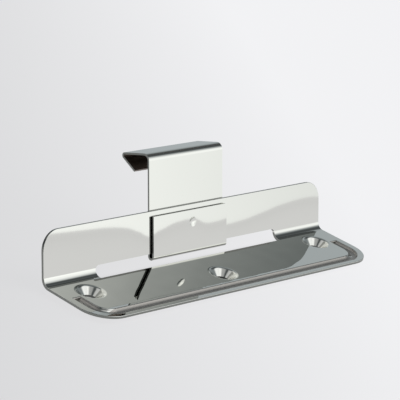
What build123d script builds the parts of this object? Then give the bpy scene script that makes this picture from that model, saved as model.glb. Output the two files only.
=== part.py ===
from build123d import *
from math import cos, radians, sin, tan
import os

# Adjustable mirror clip, in millimetres. The bracket's plate lies flat, parallel to the XY plane.
# X runs along the bracket, -Y is the plate's free front edge, and the flange stands up at the back.
# The origin is on the seating plane, midway between the two outer screw holes.

# Bracket: one folded sheet
LENGTH = 120.0
SHEET = 0.8
PLATE_DEPTH = 24.6
PLATE_CORNER_R = 9.0
FLANGE_HEIGHT = 15.6
FLANGE_CORNER_R = 6.0
FLANGE_LEAN = 15.0
BEND_INNER_R = 2.5
SHEET_EDGE_R = 0.15

# Screw holes, dimpled for countersunk heads
HOLE_D = 4.2
COUNTERSINK_D = 8.4
COUNTERSINK_ANGLE = 90.0
HOLE_LAND = 0.6
DIMPLE_EDGE_R = 1.5
DIMPLE_BEAD_GAP = 1.0
OUTER_HOLE_SETBACK = 8.3
MIDDLE_HOLE_SETBACK = 14.1

# Stiffening bead, pressed down along both ends and the front of the plate
BEAD_WIDTH = 3.0
BEAD_DEPTH = 1.0
BEAD_EDGE_R = 0.4
BEAD_END_MARGIN = 3.9
BEAD_FRONT_MARGIN = 3.0
BEAD_START_SETBACK = 10.0
BEAD_CORNER_R = 6.0

# Long slot across the bend, which guides the clip
SLOT_LENGTH = 78.2
SLOT_OFFSET = -0.7
SLOT_WEB_EDGE = 2.7
SLOT_PLATE_EDGE = 2.5
SLOT_CORNER_R = 1.5

# Clip: one folded strip
STRIP = 0.6
CLIP_WIDTH = 31.8
CLIP_OFFSET = -0.75
CLIP_CORNER_R = 0.4
LEAF_GAP = 0.3
BACK_GAP = 0.1
LEAF_TOP_DROP = 1.6
FOLD_CLEARANCE = 1.5
STRIP_RISE = 17.2
HOOK_REACH = 11.95
HOOK_SLOPE = 3.8
HOOK_FRONT_R = 1.8
HOOK_BACK_R = 0.7
LIP_LENGTH = 7.7
LIP_ANGLE = 38.3

# Pip pressed from the leaf towards the flange
PIP_D = 3.2
PIP_HEIGHT = 0.25
PIP_OFFSET = 1.0
PIP_TOP_DROP = 3.7

# Heights and angles that follow from the sizes above
cone_slope = radians(COUNTERSINK_ANGLE / 2)
cone_drop = (COUNTERSINK_D - HOLE_D) / 2 / tan(cone_slope)
plate_top = cone_drop + HOLE_LAND
lean = radians(FLANGE_LEAN)
bend_turn = radians(90 - FLANGE_LEAN)

# Plane of the flange's front face. Its origin is the corner where that face would meet the plate's top:
# local X runs along the bracket, local Y up the flange, and local Z points forward, off its front face.
corner = Vector(0, OUTER_HOLE_SETBACK, plate_top)
flange_plane = Plane(origin=corner, x_dir=(1, 0, 0), z_dir=(0, -cos(lean), sin(lean)))
plate_plane = Plane(origin=corner, x_dir=(1, 0, 0), z_dir=(0, 0, 1))

# The same corner in a section across the bracket: local X is forward off the flange, local Y up along it
section_plane = Plane(origin=corner, x_dir=(0, -cos(lean), sin(lean)), z_dir=(-1, 0, 0))


def folded_sheet():
    """Plate, bend and flange at their full length, with rounded free corners."""
    half = SHEET / 2
    front = Vector(corner.Y - PLATE_DEPTH, plate_top - half)
    rise = -half * (1 - sin(lean)) / cos(lean)
    bend = Vector(corner.Y + rise * sin(lean) + half * cos(lean), plate_top - half)
    top = Vector(
        corner.Y + FLANGE_HEIGHT * sin(lean) + half * cos(lean),
        plate_top + FLANGE_HEIGHT * cos(lean) - half * sin(lean),
    )
    midline = FilletPolyline(front, bend, top, radius=BEND_INNER_R + half)
    section = Plane.YZ * trace(midline, SHEET)
    sheet = extrude(section, LENGTH / 2, both=True)

    plate_corners = sheet.edges().filter_by(Axis.Z).group_by(Axis.Y)[0]
    sheet = fillet(plate_corners, PLATE_CORNER_R)
    across_flange = Axis(corner, flange_plane.z_dir)
    flange_corners = sheet.edges().filter_by(across_flange).group_by(Axis.Z)[-1]
    sheet = fillet(flange_corners, FLANGE_CORNER_R)

    front_edge = sheet.edges().filter_by(Axis.X).group_by(Axis.Y)[0].sort_by(Axis.Z)[-1]
    return fillet(front_edge, SHEET_EDGE_R)


def bend_slot():
    """The slot's two straight cuts, which meet in the bend: one square to the flange, one to the plate."""
    bend_setback = BEND_INNER_R * tan(bend_turn / 2)
    bend_arc = (BEND_INNER_R + SHEET / 2) * bend_turn
    flat_width = SLOT_WEB_EDGE - bend_setback + bend_arc + SLOT_PLATE_EDGE - bend_setback
    opening = Rectangle(SLOT_LENGTH, flat_width)
    rounded_opening = fillet(opening.vertices().group_by(Axis.Y)[-1], SLOT_CORNER_R)

    to_mid_bend = BEND_INNER_R * (1 - cos(bend_turn / 2))
    through = BEND_INNER_R + SHEET
    in_flange = flange_plane * Pos(SLOT_OFFSET, SLOT_WEB_EDGE - flat_width / 2, 0) * rounded_opening
    in_plate = plate_plane * Pos(SLOT_OFFSET, flat_width / 2 - SLOT_PLATE_EDGE, 0) * opening
    flange_cut = extrude(in_flange, to_mid_bend) + extrude(in_flange, -through)
    plate_cut = extrude(in_plate, to_mid_bend) + extrude(in_plate, -through)
    return flange_cut + plate_cut


def bead_path(extra):
    """Centre line of the bead on the plate's top, lengthened at both ends by extra."""
    side = LENGTH / 2 - BEAD_END_MARGIN
    start = corner.Y - BEAD_START_SETBACK + extra
    front = corner.Y - PLATE_DEPTH + BEAD_FRONT_MARGIN
    points = [(-side, start), (-side, front), (side, front), (side, start)]
    return Pos(0, 0, plate_top) * FilletPolyline(*points, radius=BEAD_CORNER_R)


def bead_section(path, radius, centre_height, flat_height):
    """Part of a round bar below a flat, square to the start of the path."""
    start = Plane(origin=path @ 0, x_dir=(1, 0, 0), z_dir=path % 0)
    up = 1 if start.y_dir.Z > 0 else -1
    bar = Pos(0, up * centre_height) * Circle(radius)
    above = Pos(0, up * (flat_height + radius)) * Rectangle(4 * radius, 2 * radius)
    return start * (bar - above)


def edges_of_radius(shape, radius):
    """Round edges of one radius."""
    return [edge for edge in shape.edges().filter_by(GeomType.CIRCLE) if abs(edge.radius - radius) < 0.01]


def add_bead(sheet):
    """Press the bead: a ridge under the plate, and the groove over it."""
    groove_r = (BEAD_WIDTH ** 2 / 4 + BEAD_DEPTH ** 2) / (2 * BEAD_DEPTH)
    centre_height = groove_r - BEAD_DEPTH
    outer_path = bead_path(SHEET)
    inner_path = bead_path(0)
    ridge = sweep(bead_section(outer_path, groove_r + SHEET, centre_height, -SHEET / 2), path=outer_path)
    groove = sweep(bead_section(inner_path, groove_r, centre_height, 0), path=inner_path)
    sheet = sheet + ridge - groove
    at_top = sheet.edges().filter_by_position(Axis.Z, plate_top - 0.001, plate_top + 0.001)
    mouth = [edge for edge in at_top if edge.distance_to(inner_path) < BEAD_WIDTH / 2 + 0.001]
    return fillet(mouth, BEAD_EDGE_R)


def dimple_places():
    """The three screw holes: two near the ends and one in the middle, nearer the front."""
    outer_x = LENGTH / 2 - BEAD_END_MARGIN - BEAD_WIDTH / 2 - DIMPLE_BEAD_GAP - COUNTERSINK_D / 2
    middle_y = corner.Y - MIDDLE_HOLE_SETBACK
    return [Pos(-outer_x, 0, plate_top), Pos(0, middle_y, plate_top), Pos(outer_x, 0, plate_top)]


def add_dimples(sheet):
    """Press each screw hole's cone down to the seating plane and pierce it."""
    top_r = COUNTERSINK_D / 2
    hole_r = HOLE_D / 2
    outer_r = top_r + SHEET / cos(cone_slope)
    bottom_r = outer_r - plate_top * tan(cone_slope)
    under_r = outer_r - SHEET / 2 * tan(cone_slope)
    upright = (Align.CENTER, Align.CENTER, Align.MIN)
    boss = Pos(0, 0, -plate_top) * Cone(bottom_r, under_r, plate_top - SHEET / 2, align=upright)
    seat = Pos(0, 0, -cone_drop) * Cone(hole_r, top_r, cone_drop, align=upright)
    pierce = Cylinder(hole_r, 4 * plate_top)
    for place in dimple_places():
        sheet = sheet + place * boss - place * seat - place * pierce
    return sheet


def bracket():
    """Plate and flange with slot, bead and dimpled holes."""
    sheet = folded_sheet() - bend_slot()
    sheet = add_bead(sheet)
    sheet = add_dimples(sheet)
    return fillet(edges_of_radius(sheet, COUNTERSINK_D / 2), DIMPLE_EDGE_R)


def clip_midline():
    """Middle of the strip's thickness, from the leaf's top, under the web and up to the lip's end."""
    leaf_x = LEAF_GAP + STRIP / 2
    back_x = -(SHEET + BACK_GAP + STRIP / 2)
    fold_r = (leaf_x - back_x) / 2
    fold_y = SLOT_WEB_EDGE - FOLD_CLEARANCE + fold_r - STRIP / 2
    leaf_top = FLANGE_HEIGHT - LEAF_TOP_DROP
    hook_top = FLANGE_HEIGHT + STRIP_RISE - STRIP / 2
    slope = radians(HOOK_SLOPE)
    lip = radians(LIP_ANGLE)
    hook_back = Vector(back_x - HOOK_REACH * cos(slope), hook_top - HOOK_REACH * sin(slope))
    lip_end = hook_back + Vector(LIP_LENGTH * cos(lip), -LIP_LENGTH * sin(lip))

    leaf = Line((leaf_x, leaf_top), (leaf_x, fold_y))
    fold = CenterArc(((leaf_x + back_x) / 2, fold_y), fold_r, 0, -180)
    hook_front = Vector(back_x, hook_top)
    hook = FilletPolyline((back_x, fold_y), hook_front, hook_back, lip_end, radius=(HOOK_FRONT_R, HOOK_BACK_R))
    return leaf, fold, hook


def sliding_clip():
    """The folded strip, with the pip pressed from its leaf."""
    section = Sketch() + [trace(line, STRIP) for line in clip_midline()]
    strip = extrude(section_plane * section, CLIP_WIDTH / 2, both=True)
    leaf_corners = strip.edges().filter_by(Axis(corner, flange_plane.z_dir)).group_by(Axis.X)
    strip = fillet(leaf_corners[0] + leaf_corners[-1], CLIP_CORNER_R)

    pip_r = PIP_D / 2
    ball_r = (pip_r ** 2 + PIP_HEIGHT ** 2) / (2 * PIP_HEIGHT)
    pip_y = FLANGE_HEIGHT - LEAF_TOP_DROP - PIP_TOP_DROP
    centre = flange_plane * Pos(PIP_OFFSET, pip_y, LEAF_GAP - PIP_HEIGHT + ball_r)
    ball_slice = flange_plane * Pos(PIP_OFFSET, pip_y, 0) * extrude(Circle(ball_r), LEAF_GAP + STRIP / 2)
    bump = centre * Sphere(ball_r) & ball_slice
    dent = centre * Sphere(ball_r - STRIP)
    return Pos(CLIP_OFFSET, 0, 0) * (strip + bump - dent)


os.makedirs("parts", exist_ok=True)
export_step(bracket(), "parts/bracket.step")
export_step(sliding_clip(), "parts/sliding_clip.step")
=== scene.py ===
# %% [markdown]
# # A folded steel mirror clip
# The real object is two pieces of polished stainless sheet. The bracket is screwed down, and the clip
# slides along its slotted flange and hooks over the edge of a mirror. The solids come from the CAD and
# keep their shapes, so the work here is the metal, the light around it and the camera.

# %% Load the solids
from math import cos, degrees, radians, sin

import bpy
from mathutils import Euler, Matrix, Vector

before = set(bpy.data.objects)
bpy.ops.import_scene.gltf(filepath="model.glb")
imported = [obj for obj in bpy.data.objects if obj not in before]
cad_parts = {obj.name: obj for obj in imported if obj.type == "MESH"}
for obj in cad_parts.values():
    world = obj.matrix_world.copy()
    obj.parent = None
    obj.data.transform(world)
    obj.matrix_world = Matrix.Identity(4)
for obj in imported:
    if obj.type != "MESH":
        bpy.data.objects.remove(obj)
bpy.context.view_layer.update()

# %% [markdown]
# ## Helpers
# Colours are written as sRGB hex values, as in any paint program, and Blender's shaders want them
# linear. A shader is a small graph, so one function adds a node with its settings and its links.
# Lengths are written in millimetres, because Blender's metres are clumsy for so small a thing.

# %% Colour and node helpers
MM = 0.001


def linear(hex_colour):
    """An sRGB hex colour as linear red, green, blue and alpha."""
    parts = [int(hex_colour[i:i + 2], 16) / 255 for i in (1, 3, 5)]
    return [p / 12.92 if p <= 0.04045 else ((p + 0.055) / 1.055) ** 2.4 for p in parts] + [1.0]


def add(tree, kind, links=None, values=None, **settings):
    """Add one shader node: links feed its inputs, values are its constants, settings its properties."""
    node = tree.nodes.new(kind)
    for name, value in settings.items():
        setattr(node, name, value)
    for name, value in (values or {}).items():
        node.inputs[name].default_value = value
    for name, socket in (links or {}).items():
        tree.links.new(socket, node.inputs[name])
    return node


def new_material(name):
    """An empty material and its shader tree."""
    material = bpy.data.materials.new(name)
    material.use_nodes = True
    material.node_tree.nodes.clear()
    return material, material.node_tree


print("white is", linear("#ffffff"))

# %% [markdown]
# ## The camera
# A product photograph of something this small is taken from 60 cm or so with a long lens, so that
# its lines hardly converge. The camera is tilted a little, which makes the flange stand upright in the
# picture. A point on the part, an azimuth, an elevation and a distance say all of that.

# %% Camera
CAMERA_AIM = Vector((4.14, 12.42, 18.51)) * MM
CAMERA_AZIMUTH = -49.45
CAMERA_ELEVATION = 20.22
CAMERA_ROLL = 11.52
CAMERA_DISTANCE = 635.7 * MM
CAMERA_LENS = 188.2
CAMERA_NEAREST = 10 * MM

turn = Euler((radians(90 - CAMERA_ELEVATION), 0, radians(CAMERA_AZIMUTH))).to_matrix()
turn = turn @ Matrix.Rotation(radians(CAMERA_ROLL), 3, "Z")
camera = bpy.data.objects.new("camera", bpy.data.cameras.new("camera"))
camera.matrix_world = turn.to_4x4()
camera.location = CAMERA_AIM + turn @ Vector((0, 0, CAMERA_DISTANCE))
camera.data.lens = CAMERA_LENS
camera.data.clip_start = CAMERA_NEAREST
bpy.context.scene.collection.objects.link(camera)
bpy.context.scene.camera = camera
print("camera at", [round(v / MM, 1) for v in camera.location], "mm")

# %% [markdown]
# ## The floor
# The clip lies on a sheet of pale paper. A small plane with a wall behind it would do for the picture,
# but polished metal shows all of the floor up to its horizon, so a very wide disc is used. It is no
# part of the object.

# %% A wide disc
FLOOR_RADIUS = 12.0
FLOOR_CORNERS = 72

ring = [radians(360 / FLOOR_CORNERS * i) for i in range(FLOOR_CORNERS)]
floor_mesh = bpy.data.meshes.new("floor")
floor_mesh.from_pydata([(FLOOR_RADIUS * cos(a), FLOOR_RADIUS * sin(a), 0) for a in ring],
                       [], [list(range(FLOOR_CORNERS))])
floor = bpy.data.objects.new("floor", floor_mesh)
bpy.context.scene.collection.objects.link(floor)
print("floor is", 2 * FLOOR_RADIUS, "m across")

# %% [markdown]
# ## Its paper
# The paper gets lighter to the right, towards the light, and that light is painted into the glow's
# colour.
# Stronger light could make it white, but that would burn out the steel. So most of what the camera and
# the steel see of it is a plain glow, and the rest is real matt paper, which keeps the part's soft
# shadow.

# %% How light the paper is
# Painted light: the glow's colour runs from the dark tone to the light one, towards the light.
PAPER_DARK = "#D0D0D1"
PAPER_LIGHT = "#FDFDFF"
LIGHTER_TOWARDS = (0.82, -0.573, 0)
DARK_AT = -155 * MM
LIGHT_AT = 66 * MM

paper, tree = new_material("pale_paper")
place = add(tree, "ShaderNodeNewGeometry").outputs["Position"]
along = add(tree, "ShaderNodeVectorMath", {0: place}, {1: LIGHTER_TOWARDS}, operation="DOT_PRODUCT")
share = add(tree, "ShaderNodeMapRange", {"Value": along.outputs["Value"]},
            {"From Min": DARK_AT, "From Max": LIGHT_AT})
tone = add(tree, "ShaderNodeMix", {"Factor": share.outputs["Result"]},
           {6: linear(PAPER_DARK), 7: linear(PAPER_LIGHT)}, data_type="RGBA")
print("paper from", PAPER_DARK, "to", PAPER_LIGHT)

# %% [markdown]
# ## Far paper
# A paper roll doesn't stay evenly lit for metres, and the flange mirrors it up to the horizon. So a
# little less light is painted into the paper's glow far off, well outside the picture.

# %% Where the paper gets dimmer
# Painted falloff of light: the glow fades between these distances down to this level.
FAR = (600 * MM, 3000 * MM)
FAR_LEVEL = 0.95

away = add(tree, "ShaderNodeVectorMath", {0: place}, operation="LENGTH")
level = add(tree, "ShaderNodeMapRange", {"Value": away.outputs["Value"]},
            {"From Min": FAR[0], "From Max": FAR[1], "To Min": 1.0, "To Max": FAR_LEVEL})
print("far paper is at", FAR_LEVEL)

# %% [markdown]
# ## The shadow under the plate
# The plate stands a little above the paper on its pressed cones, and hardly any light gets in under
# it. The fold under the leaf mirrors that shadow as a dark line. The glow would fill it, so the glow is
# held back under the plate, and fades in again towards the back, under the slot.

# %% Holding the glow back
SHADOW_ENDS = (42 * MM, 58 * MM)
SHADOW_FRONT = -10 * MM
SHADOW_FADES = (3 * MM, 12 * MM)
UNDER_PLATE = 0.12

axes = add(tree, "ShaderNodeSeparateXYZ", {"Vector": place})
side = add(tree, "ShaderNodeMath", {0: axes.outputs["X"]}, operation="ABSOLUTE")
within = add(tree, "ShaderNodeMapRange", {"Value": side.outputs[0]},
             {"From Min": SHADOW_ENDS[0], "From Max": SHADOW_ENDS[1], "To Min": 1.0, "To Max": 0.0},
             interpolation_type="SMOOTHSTEP")
behind = add(tree, "ShaderNodeMath", {0: axes.outputs["Y"]}, {1: SHADOW_FRONT}, operation="GREATER_THAN")
fades = add(tree, "ShaderNodeMapRange", {"Value": axes.outputs["Y"]},
            {"From Min": SHADOW_FADES[0], "From Max": SHADOW_FADES[1], "To Min": 1 - UNDER_PLATE,
             "To Max": 0.0}, interpolation_type="SMOOTHSTEP")
inside = add(tree, "ShaderNodeMath", {0: within.outputs["Result"], 1: behind.outputs[0]},
             operation="MULTIPLY")
held = add(tree, "ShaderNodeMath", {0: inside.outputs[0], 1: fades.outputs["Result"]},
           operation="MULTIPLY")
left = add(tree, "ShaderNodeMath", {1: held.outputs[0]}, {0: 1.0}, operation="SUBTRACT")
strength = add(tree, "ShaderNodeMath", {0: level.outputs["Result"], 1: left.outputs[0]},
               operation="MULTIPLY")
print("shadow under the plate from", round(SHADOW_FRONT / MM), "to", round(SHADOW_FADES[1] / MM), "mm")

# %% [markdown]
# ## Glow and paper together
# Now the glow and the matt paper are mixed. Is Glossy Ray is what a mirror-like surface looks with, and
# Is Transmission Ray what glass looks through, so both see the same floor as the camera does, and the
# light that falls on matt things stays plain.

# %% The finished paper
GLOW_SHARE = 0.85
MATT_PAPER = "#ECECED"

ray = add(tree, "ShaderNodeLightPath")
glow = add(tree, "ShaderNodeEmission", {"Color": tone.outputs[2], "Strength": strength.outputs[0]})
matt = add(tree, "ShaderNodeBsdfDiffuse", values={"Color": linear(MATT_PAPER)})
seen = add(tree, "ShaderNodeMath", {0: ray.outputs["Is Camera Ray"], 1: ray.outputs["Is Glossy Ray"]},
           operation="MAXIMUM")
seen = add(tree, "ShaderNodeMath", {0: seen.outputs[0], 1: ray.outputs["Is Transmission Ray"]},
           operation="MAXIMUM")
seen_share = add(tree, "ShaderNodeMath", {0: seen.outputs[0]}, {1: GLOW_SHARE}, operation="MULTIPLY")
both = add(tree, "ShaderNodeMixShader",
           {0: seen_share.outputs[0], 1: matt.outputs[0], 2: glow.outputs[0]})
add(tree, "ShaderNodeOutputMaterial", {"Surface": both.outputs[0]})
floor_mesh.materials.append(paper)
print("glow share", GLOW_SHARE)

# %% [markdown]
# ## Light
# Polished steel has hardly any colour of its own: it shows the room. Lamps would do for a matt thing,
# but here the room itself is the light. It is a tent of grey cloth, drawn in the world shader from the
# direction of each ray. The cloth is dim on the left and lighter towards the windows on the right.

# %% The cloth of the tent
CLOTH = "#EBF6FB"
CLOTH_DIM = 0.11
CLOTH_LIT = 0.30
CLOTH_DIM_AT = -0.25
CLOTH_LIT_AT = 0.55

world = bpy.data.worlds.new("light_tent")
bpy.context.scene.world = world
world.use_nodes = True
tree = world.node_tree
tree.nodes.clear()
direction = add(tree, "ShaderNodeTexCoord").outputs["Generated"]
across = add(tree, "ShaderNodeSeparateXYZ", {"Vector": direction}).outputs["X"]
cloth = add(tree, "ShaderNodeMapRange", {"Value": across},
            {"From Min": CLOTH_DIM_AT, "From Max": CLOTH_LIT_AT,
             "To Min": CLOTH_DIM, "To Max": CLOTH_LIT}, interpolation_type="SMOOTHSTEP")
total = add(tree, "ShaderNodeVectorMath", {0: cloth.outputs["Result"]}, {1: linear(CLOTH)[:3]},
            operation="MULTIPLY").outputs[0]
print("cloth from", CLOTH_DIM, "to", CLOTH_LIT)

# %% [markdown]
# ## Soft boxes
# Each soft light is a blurred disc round one direction: full up to one angle and gone at another. They
# are added up. What the flange shows is the wall on the right, the plate shows the boxes above, and
# the bend between them sweeps over the high window, which is its white line.

# %% The lights in the tent
PANELS = {
    # name: direction, angles in degrees where the panel ends and is full, level, colour
    "wall on the right": ((0.55, -0.835, 0.0), 50, 22, 0.80, "#FFFFFD"),
    "low window in that wall": ((0.5, -0.866, 0.0), 20, 8, 0.27, "#FFFFFD"),
    "high window in that wall": ((0.67, -0.67, 0.32), 18, 7, 0.26, "#FFFFFF"),
    "box above the front": ((0.3, -0.5, 0.8), 31.5, 13, 0.95, "#FFFFFF"),
    "box overhead": ((-0.15, -0.25, 0.95), 24, 10, 0.40, "#FFFFFF"),
    "box above the back": ((-0.38, 0.55, 0.74), 25, 12, 0.6, "#FFFFFF"),
    "cloth at the back": ((0.74, 0.65, 0.08), 42, 14, 0.25, "#F2FAFF"),
}

for aim, ends, full, level, colour in PANELS.values():
    near = add(tree, "ShaderNodeVectorMath", {0: direction}, {1: Vector(aim).normalized()},
               operation="DOT_PRODUCT")
    bright = add(tree, "ShaderNodeMapRange", {"Value": near.outputs["Value"]},
                 {"From Min": cos(radians(ends)), "From Max": cos(radians(full)), "To Max": level},
                 interpolation_type="SMOOTHSTEP")
    total = add(tree, "ShaderNodeVectorMath", {0: bright.outputs["Result"], 2: total},
                {1: linear(colour)[:3]}, operation="MULTIPLY_ADD").outputs[0]
print("panels:", ", ".join(PANELS))

# %% [markdown]
# ## Dark spots
# A photographer of bright metal also sets up black cards, because a mirror with nothing dark in it
# looks flat. Here a card on the left draws the black edge of the folded leaf, and a darker seam of the
# tent overhead draws the dark line along the bend.

# %% The card, the seam and the finished tent
DARK_SPOTS = {
    # name: direction, angles in degrees where it ends and is full, how much light is left
    "black card on the left": ((-0.713, -0.70, 0.0), 33, 19, 0.08),
    "seam overhead": ((0.713, 0.0, 0.70), 21, 5, 0.34),
}

strength = None
for aim, ends, full, left_over in DARK_SPOTS.values():
    near = add(tree, "ShaderNodeVectorMath", {0: direction}, {1: Vector(aim).normalized()},
               operation="DOT_PRODUCT")
    shade = add(tree, "ShaderNodeMapRange", {"Value": near.outputs["Value"]},
                {"From Min": cos(radians(ends)), "From Max": cos(radians(full)), "To Min": 1.0,
                 "To Max": left_over}, interpolation_type="SMOOTHSTEP").outputs["Result"]
    strength = shade if strength is None else add(
        tree, "ShaderNodeMath", {0: strength, 1: shade}, operation="MULTIPLY").outputs[0]
tent = add(tree, "ShaderNodeBackground", {"Color": total, "Strength": strength})
add(tree, "ShaderNodeOutputWorld", {"Surface": tent.outputs[0]})
print("dark spots:", ", ".join(DARK_SPOTS))

# %% [markdown]
# ## Polished stainless steel
# Both sheets, 0.8 and 0.6 mm thick, were bought bright and buffed after folding, so the pieces share
# one recipe. Fully metallic and almost without roughness, it mirrors the tent with a slightly warm grey
# of its own, which is what the eye reads as steel and not as chrome. It measures places from the corner
# in which the faces of the plate and the flange would meet, if the bend between them were sharp.

# %% One steel for each piece
STEEL = "#D8D8D3"
CORNER = Vector((0, 8.3, 2.7)) * MM

steels = {}
for name in ("bracket", "sliding_clip"):
    material, tree = new_material(name + "_polished_stainless_steel")
    at_rest = add(tree, "ShaderNodeTexCoord").outputs["Object"]
    place = add(tree, "ShaderNodeVectorMath", {0: at_rest}, {1: CORNER}, operation="SUBTRACT").outputs[0]
    steels[name] = {"material": material, "tree": tree, "place": place,
                    "facing": add(tree, "ShaderNodeNewGeometry").outputs["Normal"]}
print("steels:", [steel["material"].name for steel in steels.values()])

# %% [markdown]
# ## A sheet that isn't quite flat
# No thin sheet stays flat when it is folded, so straight lines bend in it, such as the floor's horizon
# in the flange. A bump texture could do that, but tilting the surface's normal says the angle outright.
# This curve gives the tilt along the length: one step of it moves the horizon down by 0.9 mm.

# %% How far the flange and the strip are bowed
FLANGE_LEAN = radians(15)
FLANGE_OUT = Vector((0, -cos(FLANGE_LEAN), sin(FLANGE_LEAN)))
FLANGE_UP = Vector((0, sin(FLANGE_LEAN), cos(FLANGE_LEAN)))
BOW_STEP = radians(0.056)
BOW_MIDDLE = 4.0
BOW_MOST = 10.0
HALF_LENGTH = 60
BOWS = {
    # millimetres along the length: steps
    "bracket": {-60: 1.0, -40: 1.2, -30: 2.2, -22: 4.9, -15: 7.8, 5: 9.2, 21: 8.7, 32: 7.2, 45: 5.4,
                52: 5.2, 60: 6.2},
    "sliding_clip": {-17: 8.5, -12.7: 7.0, -1: 5.5, 7.7: 8.3, 15.2: 7.8},
}

for name, steel in steels.items():
    tree, bow = steel["tree"], BOWS[name]
    along = add(tree, "ShaderNodeSeparateXYZ", {"Vector": steel["place"]}).outputs["X"]
    share = add(tree, "ShaderNodeMapRange", {"Value": along},
                {"From Min": -HALF_LENGTH * MM, "From Max": HALF_LENGTH * MM})
    curve = add(tree, "ShaderNodeFloatCurve", {"Value": share.outputs["Result"]})
    points = curve.mapping.curves[0].points
    while len(points) < len(bow):
        points.new(0.5, 0.5)
    for point, x in zip(points, sorted(bow)):
        point.location = ((x + HALF_LENGTH) / (2 * HALF_LENGTH), bow[x] / BOW_MOST)
    curve.mapping.update()
    tilt = add(tree, "ShaderNodeMapRange", {"Value": curve.outputs["Value"]},
               {"To Min": -BOW_MIDDLE * BOW_STEP, "To Max": (BOW_MOST - BOW_MIDDLE) * BOW_STEP})
    steel["normal"] = add(tree, "ShaderNodeVectorMath", {0: tilt.outputs["Result"], 2: steel["facing"]},
                          {1: FLANGE_UP}, operation="MULTIPLY_ADD").outputs[0]
most = max(abs(steps - BOW_MIDDLE) for bow in BOWS.values() for steps in bow.values())
print("bowed by up to", round(degrees(most * BOW_STEP), 2), "degrees")

# %% [markdown]
# ## The hook's top
# The real hook's top shows the cloth at the back and not the floor. The solid's top is probably 2 to 3
# degrees too steep. Its shape stays as it is, and its normal is tilted instead, by as much as the
# mirrored tone needs, which is more than the error in the shape.

# %% Tilting the hook's top
TOP_FLATTER = radians(6.5)
TOP_ABOVE = 26 * MM
FACES_UP = 0.9

steel = steels["sliding_clip"]
tree = steel["tree"]
height = add(tree, "ShaderNodeSeparateXYZ", {"Vector": steel["place"]}).outputs["Z"]
upward = add(tree, "ShaderNodeSeparateXYZ", {"Vector": steel["facing"]}).outputs["Z"]
above = add(tree, "ShaderNodeMath", {0: height}, {1: TOP_ABOVE}, operation="GREATER_THAN")
faces = add(tree, "ShaderNodeMath", {0: upward}, {1: FACES_UP}, operation="GREATER_THAN")
top = add(tree, "ShaderNodeMath", {0: above.outputs[0], 1: faces.outputs[0]}, operation="MULTIPLY")
steel["normal"] = add(tree, "ShaderNodeVectorMath", {0: top.outputs[0], 2: steel["normal"]},
                      {1: Vector((0, -1, 0)) * sin(TOP_FLATTER)}, operation="MULTIPLY_ADD").outputs[0]
print("the hook's top mirrors", round(degrees(TOP_FLATTER), 1), "degrees flatter")

# %% [markdown]
# ## Waves
# The flange and the strip have slow waves only. The plate, which was pressed, also has small ripples.
# They bend the edges of what it mirrors, such as the dark line of the clip's edge. Each piece starts
# at its own place in the noise, so the two don't ripple alike.

# %% Slow waves and the plate's ripples
WAVES = (
    # from crest to crest, tilt, and how much of it is left where the sheet doesn't lie flat
    (45 * MM, radians(0.12), 1.0),
    (5 * MM, radians(0.3), 0.0),
)
LIES_FLAT = 0.98
WAVE_STARTS = {"bracket": 4.0, "sliding_clip": 9.0}

for name, steel in steels.items():
    tree, normal = steel["tree"], steel["normal"]
    upward = add(tree, "ShaderNodeSeparateXYZ", {"Vector": steel["facing"]}).outputs["Z"]
    flat = add(tree, "ShaderNodeMath", {0: upward}, {1: LIES_FLAT}, operation="GREATER_THAN").outputs[0]
    for length, tilt, left_over in WAVES:
        noise = add(tree, "ShaderNodeTexNoise", {"Vector": steel["place"]},
                    {"Scale": 1 / length, "Detail": 0.0, "W": WAVE_STARTS[name]}, noise_dimensions="4D")
        centred = add(tree, "ShaderNodeVectorMath", {0: noise.outputs["Color"]}, {1: (0.5, 0.5, 0.5)},
                      operation="SUBTRACT")
        amount = add(tree, "ShaderNodeMapRange", {"Value": flat},
                     {"To Min": 2 * tilt * left_over, "To Max": 2 * tilt})
        normal = add(tree, "ShaderNodeVectorMath",
                     {0: centred.outputs[0], 1: amount.outputs["Result"], 2: normal},
                     operation="MULTIPLY_ADD").outputs[0]
    steel["normal"] = add(tree, "ShaderNodeVectorMath", {0: normal}, operation="NORMALIZE").outputs[0]
print("waves of", [round(wave[0] / MM) for wave in WAVES], "mm")

# %% [markdown]
# ## Measuring where a point lies
# Some places are duller: cut edges, and what the buffing wheel can't reach; inside the hook shade is
# painted in too. They could be painted on the faces one by one. Here the shader finds them from where a
# point lies and which way it faces. A cut edge, for one, faces along the sheet, so at a right angle to
# the way the plate or the flange faces. Facing is measured as a cosine: 1 is straight that way, and 0 is
# square to it.

# %% Measures for the dull spots
MEASURES = {
    # name: of the point's place or of its facing, along which way, and whether the sign is dropped
    "up the flange": ("place", FLANGE_UP, False),
    "out of the flange": ("place", FLANGE_OUT, False),
    "faces up the flange": ("facing", FLANGE_UP, False),
    "faces out of the flange": ("facing", FLANGE_OUT, False),
    "square to the plate": ("facing", (0, 0, 1), True),
    "square to the flange": ("facing", FLANGE_OUT, True),
    "faces an end": ("facing", (1, 0, 0), True),
}

for steel in steels.values():
    tree = steel["tree"]
    axes = add(tree, "ShaderNodeSeparateXYZ", {"Vector": steel["place"]})
    steel["side"] = add(tree, "ShaderNodeMath", {0: axes.outputs["X"]}, operation="ABSOLUTE").outputs[0]
    steel["back"] = axes.outputs["Y"]
    steel["height"] = axes.outputs["Z"]
    for name, (source, way, size_only) in MEASURES.items():
        dot = add(tree, "ShaderNodeVectorMath", {0: steel[source]}, {1: way}, operation="DOT_PRODUCT")
        steel[name] = dot.outputs["Value"]
        if size_only:
            steel[name] = add(tree, "ShaderNodeMath", {0: steel[name]}, operation="ABSOLUTE").outputs[0]
print("measures: side, back, height,", ", ".join(MEASURES))

# %% [markdown]
# ## The dull spots of the bracket
# The blanks were cut in a press, which leaves torn edges that the eye sees as a dull, darker line. The
# bead and the screw holes' cones were drawn down by blunt tools, and the wheel can't reach into them,
# so their light is softer. Each spot has a colour, a roughness and the tests that a point has to pass.
# All that was drawn down lies below the plate's face, and the bead's two edges part it from the cones.

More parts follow.
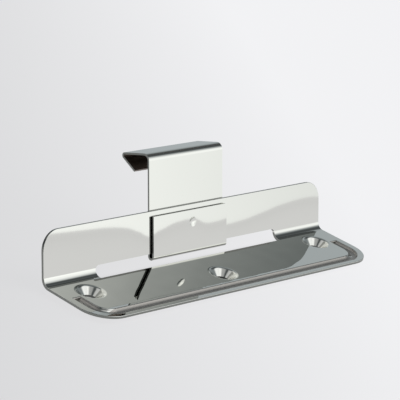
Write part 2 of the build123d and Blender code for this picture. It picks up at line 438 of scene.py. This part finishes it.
# %% Edges, bead and cones
MORE, LESS = "GREATER_THAN", "LESS_THAN"
CONE_ROUGHNESS = 0.10
DRAWN, DRAWN_ROUGHNESS = "#AFABA6", 0.38
SHEARED, SHEARED_ROUGHNESS = "#868884", 0.35
SQUARE = 0.15
BEND_ENDS = 1.92 * MM
BELOW_FACE = ("height", LESS, -0.06 * MM)
INNER_SIDE, OUTER_SIDE = 54.4 * MM, 57.8 * MM
INNER_FRONT, OUTER_FRONT = -20.0 * MM, -23.3 * MM
WITHIN_OUTER = [("side", LESS, OUTER_SIDE), ("back", MORE, OUTER_FRONT)]

DULL_AND_SHADED_SPOTS = {"bracket": [
    (STEEL, CONE_ROUGHNESS, [BELOW_FACE]),
    (DRAWN, DRAWN_ROUGHNESS, [BELOW_FACE, ("side", MORE, INNER_SIDE)] + WITHIN_OUTER),
    (DRAWN, DRAWN_ROUGHNESS, [BELOW_FACE, ("back", LESS, INNER_FRONT)] + WITHIN_OUTER),
    (SHEARED, SHEARED_ROUGHNESS, [("square to the plate", LESS, SQUARE),
                                  ("up the flange", LESS, BEND_ENDS)]),
    (SHEARED, SHEARED_ROUGHNESS, [("square to the flange", LESS, SQUARE),
                                  ("up the flange", MORE, BEND_ENDS)]),
]}
print("bracket:", len(DULL_AND_SHADED_SPOTS["bracket"]), "dull spots")

# %% [markdown]
# ## The dull spots and painted shade of the clip
# The clip's strip was sheared on its long edges and at the leaf's top. Inside the hook the steel is
# dull, as only the outside was buffed, and it is painted darker as the shade that the hollow of the hook
# holds.

# %% Edges and the inside of the hook
# Painted shade: the dark colour inside the hook.
HOOK_INSIDE_SHADE = "#857C76"
BEHIND_STRIP = -1.6 * MM
UNDER_HOOK_TOP = 32.28 * MM
LEAF_BELOW = 20 * MM
FACES_FORWARD, FACES_END, FACES_UPWARD = 0.03, 0.9, 0.97

DULL_AND_SHADED_SPOTS["sliding_clip"] = [
    (HOOK_INSIDE_SHADE, DRAWN_ROUGHNESS, [("faces out of the flange", MORE, FACES_FORWARD),
                                    ("out of the flange", LESS, BEHIND_STRIP),
                                    ("up the flange", LESS, UNDER_HOOK_TOP)]),
    (SHEARED, SHEARED_ROUGHNESS, [("faces an end", MORE, FACES_END)]),
    (SHEARED, SHEARED_ROUGHNESS, [("faces up the flange", MORE, FACES_UPWARD),
                                  ("up the flange", LESS, LEAF_BELOW)]),
]
print("clip:", len(DULL_AND_SHADED_SPOTS["sliding_clip"]), "dull spots")

# %% [markdown]
# ## Putting the steel together
# Each test gives 1 or 0, and their product is the spot's mask. A spot is mixed over what came before
# it, so the cut edges, which come last, lie over the bead. Then the finished steel goes into the
# pieces' own material slots. Their shapes stay as they are.

# %% Masks, colour, roughness and shader
BUFFED_ROUGHNESS = 0.02

for name, steel in steels.items():
    tree, colour, roughness = steel["tree"], {}, {}
    for dull_and_shade_colour, dull_roughness, tests in DULL_AND_SHADED_SPOTS[name]:
        mask = None
        for measure, operation, limit in tests:
            test = add(tree, "ShaderNodeMath", {0: steel[measure]}, {1: limit}, operation=operation)
            mask = test if mask is None else add(
                tree, "ShaderNodeMath", {0: mask.outputs[0], 1: test.outputs[0]}, operation="MULTIPLY")
        # Each spot's colour: duller steel, and painted shade inside the hook.
        tinted = add(tree, "ShaderNodeMix", {"Factor": mask.outputs[0], **colour},
                     {6: linear(STEEL), 7: linear(dull_and_shade_colour)}, data_type="RGBA")
        duller = add(tree, "ShaderNodeMix", {"Factor": mask.outputs[0], **roughness},
                     {"A": BUFFED_ROUGHNESS, "B": dull_roughness})
        colour, roughness = {6: tinted.outputs[2]}, {"A": duller.outputs[0]}
    body = add(tree, "ShaderNodeBsdfPrincipled",
               {"Base Color": colour[6], "Roughness": roughness["A"], "Normal": steel["normal"]},
               {"Metallic": 1.0})
    add(tree, "ShaderNodeOutputMaterial", {"Surface": body.outputs["BSDF"]})
    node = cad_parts[name]
    for slot in node.material_slots:
        slot.material = steel["material"]
    print(name, "has", len(node.data.polygons), "faces and", len(node.material_slots), "slot")

# %% [markdown]
# ## Finish
# The Standard view shows a colour as it was written.

# %% View
bpy.context.scene.view_settings.view_transform = "Standard"
